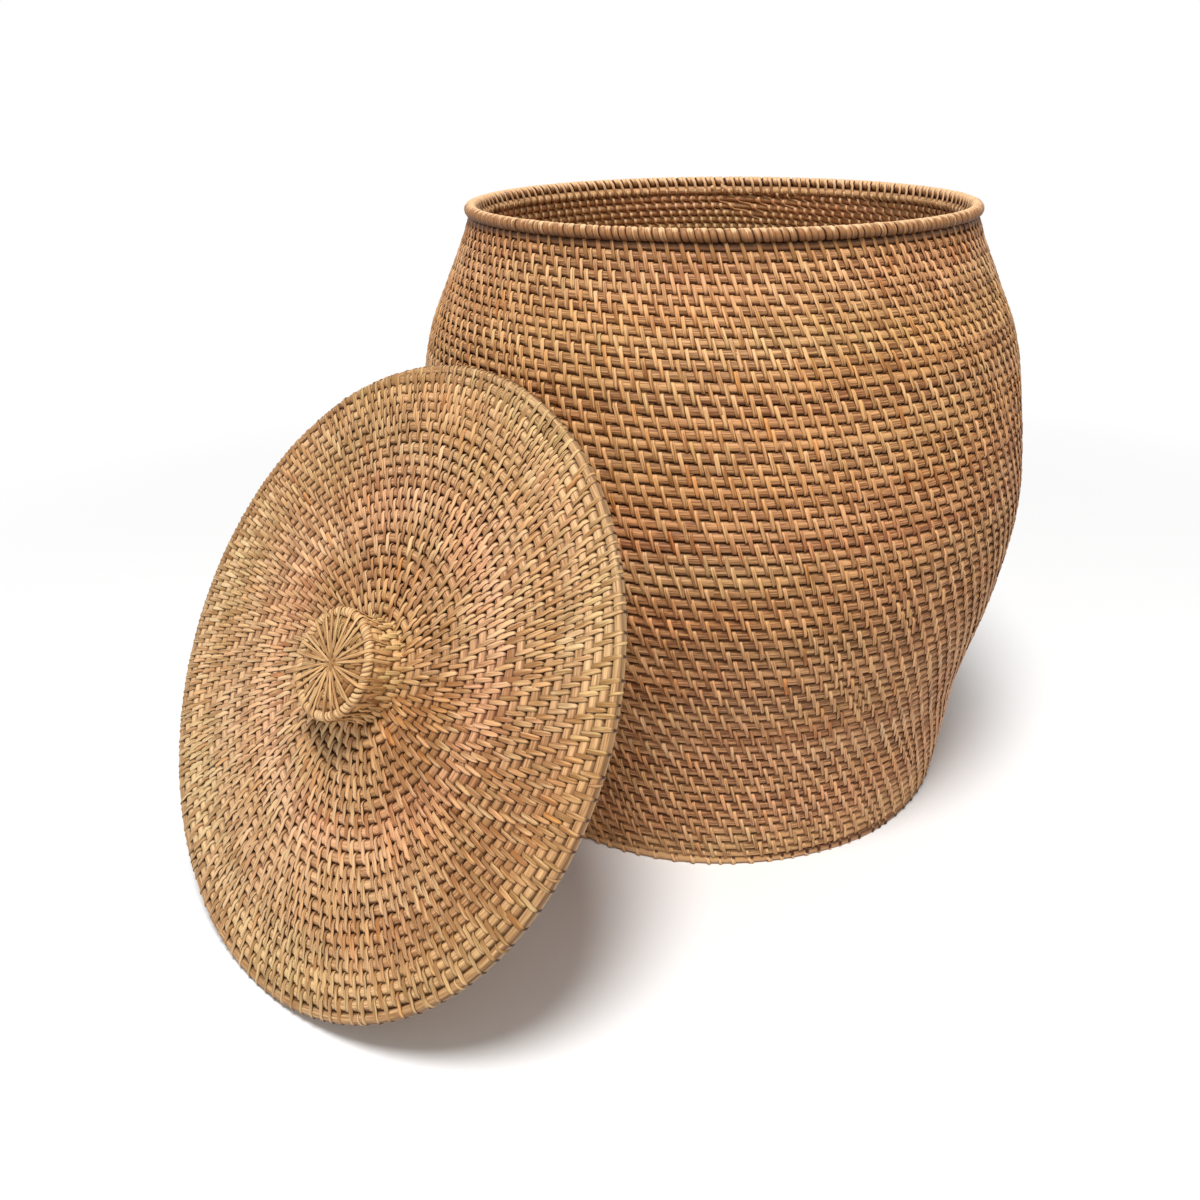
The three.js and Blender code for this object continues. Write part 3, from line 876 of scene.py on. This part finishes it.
def rattan(name, dark, pale, roughness, fibre_share):
    """Cane. Its tone, warmth, olive share and painted cleft shade come from the tint."""
    n = Nodes(bpy.data.materials.new(name))
    tint = n.add("ShaderNodeAttribute", {}, attribute_name="Tint")
    shares = n.add("ShaderNodeSeparateColor", {"Color": tint["Color"]})
    grain = n.add("ShaderNodeUVMap", {}, uv_map="Grain")[0]
    at = n.add("ShaderNodeMapping", {"Vector": grain, "Scale": (0.85, 0.035, 1)})[0]
    noise = {"Vector": at, "Scale": 1, "Detail": 2, "Roughness": 0.6}
    fibre = n.add("ShaderNodeTexNoise", noise)[0]
    at = n.add("ShaderNodeMapping", {"Vector": grain, "Scale": (0.2, 0.035, 1)})[0]
    cloud = n.add("ShaderNodeTexNoise", {"Vector": at, "Scale": 1, "Detail": 2})[0]
    level = n.math("MULTIPLY_ADD", n.math("SUBTRACT", fibre, 0.5), fibre_share, shares[0])
    level = n.math("MULTIPLY_ADD", n.math("SUBTRACT", cloud, 0.5), CLOUD_SHARE, level)
    colour = n.mix(level, dark, pale)
    colour = n.mix(shares[1], colour, WARM, "MULTIPLY")
    colour = n.mix(1, colour, n.mix(shares[2], PINK, OLIVE), "MULTIPLY")
    # Painted shade in the clefts and at the strips' edges darkens the colour
    colour = n.mix(tint["Alpha"], colour, PAINTED_SHADE, "MULTIPLY")
    rough = n.math("MULTIPLY_ADD", fibre, FIBRE_ROUGHNESS, roughness - ROUGHNESS_DROP)
    bump = n.add("ShaderNodeBump", {"Strength": 0.5, "Distance": 0.25 * MM, "Height": fibre})[0]
    n.put(n.shader, {"Base Color": colour, "Roughness": rough, "Specular IOR Level": 0.3, "Normal": bump})
    return n.owner


rod_cane = rattan("rod_cane", srgb(128, 86, 52), srgb(214, 170, 122), roughness=0.6, fibre_share=4.2)
strip_cane = rattan("strip_cane", srgb(150, 104, 60), srgb(232, 190, 140), roughness=0.5, fibre_share=3.4)
lid_rod = rattan("lid_rod", srgb(158, 117, 76), srgb(232, 194, 146), roughness=0.6, fibre_share=2.7)
lid_strip = rattan("lid_strip", srgb(160, 118, 72), srgb(232, 197, 148), roughness=0.5, fibre_share=3.2)
canes = {"basket": (rod_cane, strip_cane), "lid": (lid_rod, lid_strip)}

# Basket: floor and wall
line = basket_line()
basket = Coil(line, 1, by_height(ROW_PITCH, line[:, 1]), 12, WALL_SPACING, lean=4, width=2.9,
              edge_rod=TOP_ROD, body="basket")
floor_edges = np.cumsum((0,) + FLOOR_ROWS)
wall_edges = np.linspace(floor_edges[-1], basket.rows, WALL_PIECES + 1)
names = ["base_start_coil"] + [f"base_coil_{k}" for k in range(2, len(FLOOR_ROWS) + 1)]
names += [f"wall_coil_{k:02d}" for k in range(1, WALL_PIECES + 1)]
coil_pieces(basket, names, [*floor_edges, *wall_edges[1:]], heart=True)


# Lid: its place and its disc
LID_SHIFT = (-1.2, -1.2, 0)


def lid_matrix():
    """Places the lid's own frame: its axis is +Z there, and its middle the origin."""
    hoop = node_points("lid_edge_hoop")
    middle = (hoop.min(axis=0) + hoop.max(axis=0)) / 2
    axis = np.linalg.svd(hoop - hoop.mean(axis=0))[2][2]
    axis = axis * -np.sign(axis[1])
    side = np.array([1, 0, 0])
    turned = Matrix(np.column_stack([side, np.cross(axis, side), axis]).tolist()).to_4x4()
    return Matrix.Translation((middle + LID_SHIFT) * MM) @ turned


lid_place = lid_matrix()


def lid_radii(name):
    """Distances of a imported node's corners from the lid's axis and along it."""
    away = node_points(name) * MM - np.array(lid_place.translation)
    local = away @ np.array(lid_place.to_3x3()) / MM
    return np.hypot(local[:, 0], local[:, 1]), local[:, 2]


radii, _ = lid_radii("lid_edge_hoop")
lid_reach = (radii.min() + radii.max()) / 2 + EDGE_ROD + EDGE_ROOM
lid = Coil(flat_line(lid_reach, 0, LINE_STEP), -1, LID_ROW_PITCH, 6, LID_SPACING, lean=2.2, width=3.1,
           edge_rod=EDGE_ROD, side_shade=1)
names = ["lid_start_coil"] + [f"lid_coil_{k}" for k in range(2, len(LID_ROWS) + 1)]
edges = [*np.cumsum((0,) + LID_ROWS), lid.rows - END_GAP]
coil_pieces(lid, names + ["lid_edge_wrap"], edges, matrix=lid_place, heart=True, hoop="lid_edge_hoop")


# Hoops: tint of their rod (warmth, olive share and a painted shade that paints the rod dark where it
# shows between the turns of the strip), and how the turns of the strip sway and spread. A packed
# hoop's bar has 6 sides, and the ring under the lid is round in 32 steps.
HOOP_TINT = (0.3, 0.5, 0.9)
WRAP_STEPS = 13
WRAP_START, WRAP_END = math.radians(-125), math.radians(235)
WRAP_WAVES = ((0.12, 1.3, 0), (0.14, 0.41, 2))
WRAP_SWAY = 0.6
WRAP_SPREAD = 0.08
WRAP_LIFT = 0.1
WARMTH_SPREAD = 0.08
BAR_FLATNESS = math.cos(math.pi / 6)
RING_FLATNESS = math.cos(math.pi / 32)


def plain_tint(count, tone, spread=0.1, warm=0.28, olive=0.55):
    tones = tone + vary(spread, count)
    warmth = warm + vary(WARMTH_SPREAD, count)
    return np.column_stack([tones, warmth, np.full(count, olive), np.zeros(count)])


def add_hoop(surface, ring, radius, tone):
    """Round rod bent into a ring."""
    steps = int(TURN * ring.radius / ROD_STEP)
    rings, _ = ring.around(np.arange(steps + 1)[:, None] / steps, -ROD_BEARINGS, radius)
    # The hoop's rod gets painted shade, dark where it shows between the turns of the strip
    tint = np.broadcast_to((tone, *HOOP_TINT), (*rings.shape[:2], 4))
    add_bar(surface, rings, radius, ROD_STEP, tint, ROD_CELL)


def wrap_paths(radius, count, slant, thickness):
    """Turns of a strip round a hoop: their places in turns, bearings and reaches."""
    share = np.linspace(0, 1, WRAP_STEPS)
    index = np.arange(count)
    sway = sum(size * np.sin(index * pace + start) for size, pace, start in WRAP_WAVES)
    sway = sway + vary(WRAP_SPREAD, count)
    pitch = 1 / count
    lateral = (0.5 - share) * pitch * (1 + slant)
    turn = ((index + sway * WRAP_SWAY) * pitch)[:, None] + lateral
    bearing = WRAP_START + (WRAP_END - WRAP_START) * share
    return turn, bearing, radius + thickness / 2 + np.abs(vary(WRAP_LIFT, count))[:, None]


def make_wrapped_ring(node, slot, ring, radius, matrix, hoop_tone, tone, pitch, cover, slant=0,
                      thickness=STRIP_THICKNESS, **look):
    """A hoop of the lid and the strip wound round it, which hides the share cover of it."""
    surface = Surface()
    add_hoop(surface, ring, radius, hoop_tone)
    count = int(TURN * ring.radius / pitch)
    places, facing = ring.around(*wrap_paths(radius, count, slant, thickness))
    strip_islands(surface, places, facing, plain_tint(count, tone), pitch * cover,
                  thickness=thickness, **look)
    make_piece(node + "_wrap", surface, "lid", [node], matrix)


# Rim: its hoop, and the strip wound round it. Every second turn also ties it to the top row.
RIM_SETTLE = 2
HOOP_RADIUS = 3.4
RIM_PITCH = 4.7
RIM_COVER = 0.96
WRAP_THICKNESS = 1.5
WRAP_SLANT = 0.6

# A tie's bearings, its places on the hoop, its width, its height over the top row, and where and
# how far it strays sideways, in turns of the strip
TIE_EVERY = 2
TIE_BEARINGS = (-125, -90, -55, -20, 15, 50, 85, 120, 155, 185, 180, 205, 240)
TIE_ON_HOOP = 10
TIE_WIDTHS = ((6, 1), (9, 0.68), (12, 0.62))
TIE_LIFT = 0.6
STRAY_FROM = 8.5
STRAY_PLACES = 3
STRAY = 0.7

# Painted light on the wrap: paler at its top and darker below a level, its falloff inside and
# outside, and where painted shade darkens its underside
WRAP_PAINTED_LIGHT = 1.6
WRAP_LIGHT_LEVEL = 0.42
WRAP_LIGHT_FALLOFF = (1, 2.5)
ROLL_SHADE = 0.2


def make_rim():
    low, high = (np.array(corner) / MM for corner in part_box("rim_hoop"))
    rim_radius = high[0] - (high[2] - low[2]) / 2 / BAR_FLATNESS - RIM_SETTLE / 2
    rim = Ring(rim_radius, (low[2] + high[2]) / 2 - RIM_SETTLE)
    surface = Surface()
    add_hoop(surface, rim, HOOP_RADIUS, tone=0.3)
    make_piece("rim_hoop_rod", surface, "basket", ["rim_hoop"])
    count = int(TURN * rim_radius / RIM_PITCH / TIE_EVERY) * TIE_EVERY
    turn, bearing, reach = wrap_paths(HOOP_RADIUS, count, WRAP_SLANT, WRAP_THICKNESS)
    places, facing = rim.around(turn, bearing, reach)
    tied = np.arange(count) % TIE_EVERY == 0
    place = np.arange(WRAP_STEPS)
    tie_turn = turn[tied] - np.clip((place - STRAY_FROM) / STRAY_PLACES, 0, 1) * STRAY / count
    tie_bearing = np.radians(TIE_BEARINGS)
    top_turn = basket.rows - 1 + (tie_turn % 1)
    on_hoop, hoop_facing = rim.around(tie_turn, tie_bearing, reach[tied])
    top_reach = basket.rod_radius(top_turn) + STRIP_THICKNESS / 2 + TIE_LIFT
    on_rod, rod_facing = basket.around(top_turn, tie_bearing, top_reach)
    upper = (place < TIE_ON_HOOP)[:, None]
    places[tied] = np.where(upper, on_hoop, on_rod)
    facing[tied] = np.where(upper, hoop_facing, rod_facing)
    height = np.sin(bearing)
    lit_share = np.clip(height, 0, 1) ** np.where(bearing > math.pi / 2, *WRAP_LIGHT_FALLOFF)
    widths = np.full(turn.shape, RIM_PITCH * RIM_COVER)
    widths[tied] *= by_height(TIE_WIDTHS, place)
    surface = Surface()
    tint = plain_tint(count, tone=0.44, warm=0.04, olive=0.42)
    # The wraps get a painted highlight on top and painted shade underneath
    strip_islands(surface, places, facing, tint, widths, side_shade=1.2,
                  shade=np.clip(-ROLL_SHADE - height, 0, 1),
                  pale=WRAP_PAINTED_LIGHT * (lit_share - WRAP_LIGHT_LEVEL),
                  thickness=WRAP_THICKNESS, profile=ROUND_PROFILE)
    make_piece("rim_wrap_weave", surface, "basket", ["rim_wrap"])


make_rim()

# Ring under the lid
UNDER_DROP = 0.3
radii, heights = lid_radii("lid_locating_ring")
under_height = (heights.min() + heights.max()) / 2 - UNDER_DROP
under = Ring((radii.min() / RING_FLATNESS + radii.max()) / 2, under_height)
make_wrapped_ring("lid_locating_ring", "rattan", under, 2.3, lid_place, hoop_tone=0.3, tone=0.5,
                  pitch=RIM_PITCH, cover=0.97)

# Knob: its ring
KNOB_RISE = 3.5
KNOB_SHIFT = (0, 1.2, 0)
KNOB_THICKNESS = 1.5
knob_place = lid_place @ Matrix.Translation(Vector(KNOB_SHIFT) * MM)
radii, heights = lid_radii("knob_edge_ring")
knob_bar = (heights.max() - heights.min()) / 2 / BAR_FLATNESS
knob_ring = Ring(radii.max() - knob_bar, (heights.min() + heights.max()) / 2 + KNOB_RISE)
# The wraps' sides get painted shade (side_shade)
make_wrapped_ring("knob_edge_ring", "rattan_pale", knob_ring, knob_bar - KNOB_THICKNESS, knob_place,
                  hoop_tone=0.4, tone=0.85, pitch=3.5, cover=0.92, slant=1,
                  thickness=KNOB_THICKNESS, side_shade=0.9, profile=ROUND_PROFILE)

# Knob: the flat coil inside its ring
DISC_DROP = 1
DISC_ROOM = 0.5
disc_line = flat_line(knob_ring.radius - knob_bar + DISC_ROOM, knob_ring.height - DISC_DROP, FINE_STEP)
disc = Coil(disc_line, -1, pitch=7.9, levelled=2, spacing=((0, 6.5), (40, 6.8)), lean=1, width=2.6,
            pale=-0.3)
coil_pieces(disc, ["knob_top_coil"], (0, disc.rows), knob_place, first=0.4)

# Knob: the flared side coil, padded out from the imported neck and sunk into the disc
NECK_PADDING = 6
KNOB_FOOT = 4
KNOB_SUNK = 6
SIDE_INSET = 3.6
SIDE_STEPS = 24
radii, heights = lid_radii("knob_side_coil")
neck = radii[heights < heights.min() + 1].max() + NECK_PADDING
low, high = heights.min() - KNOB_SUNK, heights.max() + KNOB_RISE
waist = (neck - KNOB_FOOT / 2, (low + high) / 2)
side_line = curve((neck + KNOB_FOOT, low), waist, (radii.max(), high), SIDE_STEPS)
side_line = even_line(side_line - (SIDE_INSET, 0), FINE_STEP)
# The side coil is painted paler (pale 0.5) as painted light on its side, and its painted cleft shade is
# weaker (cleft 0.6)
side = Coil(side_line, 1, pitch=8, levelled=2, spacing=((0, 8.2),), lean=1.5, width=3.2,
            side_shade=0.6, pale=0.5, cleft=0.6)
coil_pieces(side, ["knob_side_coil"], (0, side.rows), matrix=knob_place, first=0.05)

# Knob: the star of strips. An arm starts in the middle (radius, height from the ring's top), bends
# over the ring (bearings) and ends down the side coil (points of its line).
STAR_ARMS = 25
STAR_WIDTH = 2.3
STAR_THICKNESS = 0.8
STAR_MIDDLE = ((1.4, -6), (1.9, -3), (3.4, -0.9), (7, 0), (14, 0.4), (26, 0.5))
STAR_OVER = (0, 30, 60, 85)
STAR_DOWN = slice(16, 40, 8)
STAR_LIFT = 0.4
STAR_STANDOFF = 5

# Sway and swirl of the arms, and their width and the painted shade at the hub, with the change by
# place. The arms' sides get painted shade too.
ARM_SWAY, ARM_PACE, ARM_SPREAD = 0.25, 1.9, 0.08
STAR_SWIRL = 0.08
STAR_TAPER = (0.3, 0.14)
HUB_PAINTED_SHADE = (1.3, -0.4)

top, bend = knob_ring.height + knob_bar, knob_bar + STAR_LIFT
inner = [(radius, top + height) for radius, height in STAR_MIDDLE]
over = [(knob_ring.radius + bend * math.sin(a), knob_ring.height + bend * math.cos(a))
        for a in np.radians(STAR_OVER)]
down = [(radius + STAR_STANDOFF, height) for radius, height in side_line[::-1][STAR_DOWN]]
arm = np.array(inner + over + down)
along = headings(arm)
out = np.column_stack([-along[:, 1], along[:, 0]])
arms, places = np.arange(STAR_ARMS), np.arange(len(arm))
sway = ARM_SWAY * np.sin(arms * ARM_PACE)
angles = TURN * (arms + sway + vary(ARM_SPREAD, STAR_ARMS)) / STAR_ARMS
flat = outwards(angles[:, None] + np.linspace(0, STAR_SWIRL, len(arm)))
width, shade = (np.clip(start + change * places, 0, 1) for start, change in (STAR_TAPER, HUB_PAINTED_SHADE))
surface = Surface()
strip_islands(surface, flat * arm[:, :1] + UP * arm[:, 1:], flat * out[:, :1] + UP * out[:, 1:],
              plain_tint(STAR_ARMS, tone=0.62, spread=0.12, warm=0.42, olive=0.6),
              np.tile(width, STAR_ARMS) * STAR_WIDTH, side_shade=0.8, shade=shade,
              thickness=STAR_THICKNESS)
make_piece("knob_star_strips", surface, "lid", ["knob_star_wrap"], knob_place)

# Camera, fitted to the photograph: its place, and its yaw, pitch and roll
CAMERA_PLACE = (642.7, -763.5, 595.5)
yaw, pitch, roll = -0.0782, 0.3363, -0.0105
forward = Vector((math.sin(yaw), math.cos(yaw), 0)) * math.cos(pitch)
forward -= Vector((0, 0, math.sin(pitch)))
right = Vector((math.cos(yaw), -math.sin(yaw), 0))
up = right.cross(forward)
rolled = (right * math.cos(roll) + up * math.sin(roll), up * math.cos(roll) - right * math.sin(roll))
data = bpy.data.cameras.new("camera")
data.lens = 35.667
data.sensor_width = 36
data.shift_x, data.shift_y = -0.02325, -0.0934
camera = add_object("camera", data)
axes = Matrix((*rolled, -forward)).transposed().to_4x4()
turned = Matrix.Rotation(math.radians(40.09), 4, "Z") @ axes
camera.matrix_world = Matrix.Translation(Vector(CAMERA_PLACE) * MM) @ turned
bpy.context.scene.camera = camera

# Floor: grey below the basket, and white from some way off, where rays show the background
FLOOR_REACH = 20
WHITE = (1, 1, 1, 1)
WHITE_FROM, WHITE_TO = 0.55, 1.3


def seen_share(n):
    """1 for rays that show the background: from the camera, a gloss or through glass."""
    path = n.add("ShaderNodeLightPath", {})
    seen = n.math("MAXIMUM", path["Is Camera Ray"], path["Is Glossy Ray"])
    return n.math("MAXIMUM", seen, path["Is Transmission Ray"])


def floor_material():
    n = Nodes(bpy.data.materials.new("floor"))
    n.put(n.shader, {"Base Color": srgb(236, 236, 236), "Roughness": 0.9, "Specular IOR Level": 0})
    white = n.add("ShaderNodeEmission", {"Color": WHITE})[0]
    spot = n.add("ShaderNodeTexCoord", {})["Object"]
    distance = n.add("ShaderNodeVectorMath", {"Vector": spot}, operation="LENGTH")["Value"]
    reach = {"Value": distance, "From Min": WHITE_FROM, "From Max": WHITE_TO}
    shown = n.math("MULTIPLY", n.add("ShaderNodeMapRange", reach)[0], seen_share(n))
    blend = n.add("ShaderNodeMixShader", {0: shown, 1: n.shader.outputs[0], 2: white})
    n.put(n.tree.nodes["Material Output"], {"Surface": blend[0]})
    return n.owner


corners = [(x * FLOOR_REACH, y * FLOOR_REACH, 0) for x, y in ((-1, -1), (1, -1), (1, 1), (-1, 1))]
floor_mesh = bpy.data.meshes.new("floor")
floor_mesh.from_pydata(corners, [], [(0, 1, 2, 3)])
floor = add_object("floor", floor_mesh)
floor_mesh.materials.append(floor_material())

# Light: a pale world, which shows as white, and one soft lamp
AMBIENT = 0.5
world = bpy.data.worlds.new("world")
bpy.context.scene.world = world
sky = Nodes(world)
strength = sky.math("MULTIPLY_ADD", seen_share(sky), 1 - AMBIENT, AMBIENT)
sky.put(sky.tree.nodes["Background"], {"Color": WHITE, "Strength": strength})

lamp = bpy.data.lights.new("key", "AREA")
lamp.shape = "DISK"
lamp.size = 1.1
lamp.energy = 122
key = add_object("key", lamp)
key.location = (0.9, -1.2, 3.3)
key.rotation_euler = (Vector((0, 0, 0.3)) - key.location).to_track_quat("-Z", "Y").to_euler()
bpy.context.scene.view_settings.view_transform = "Standard"
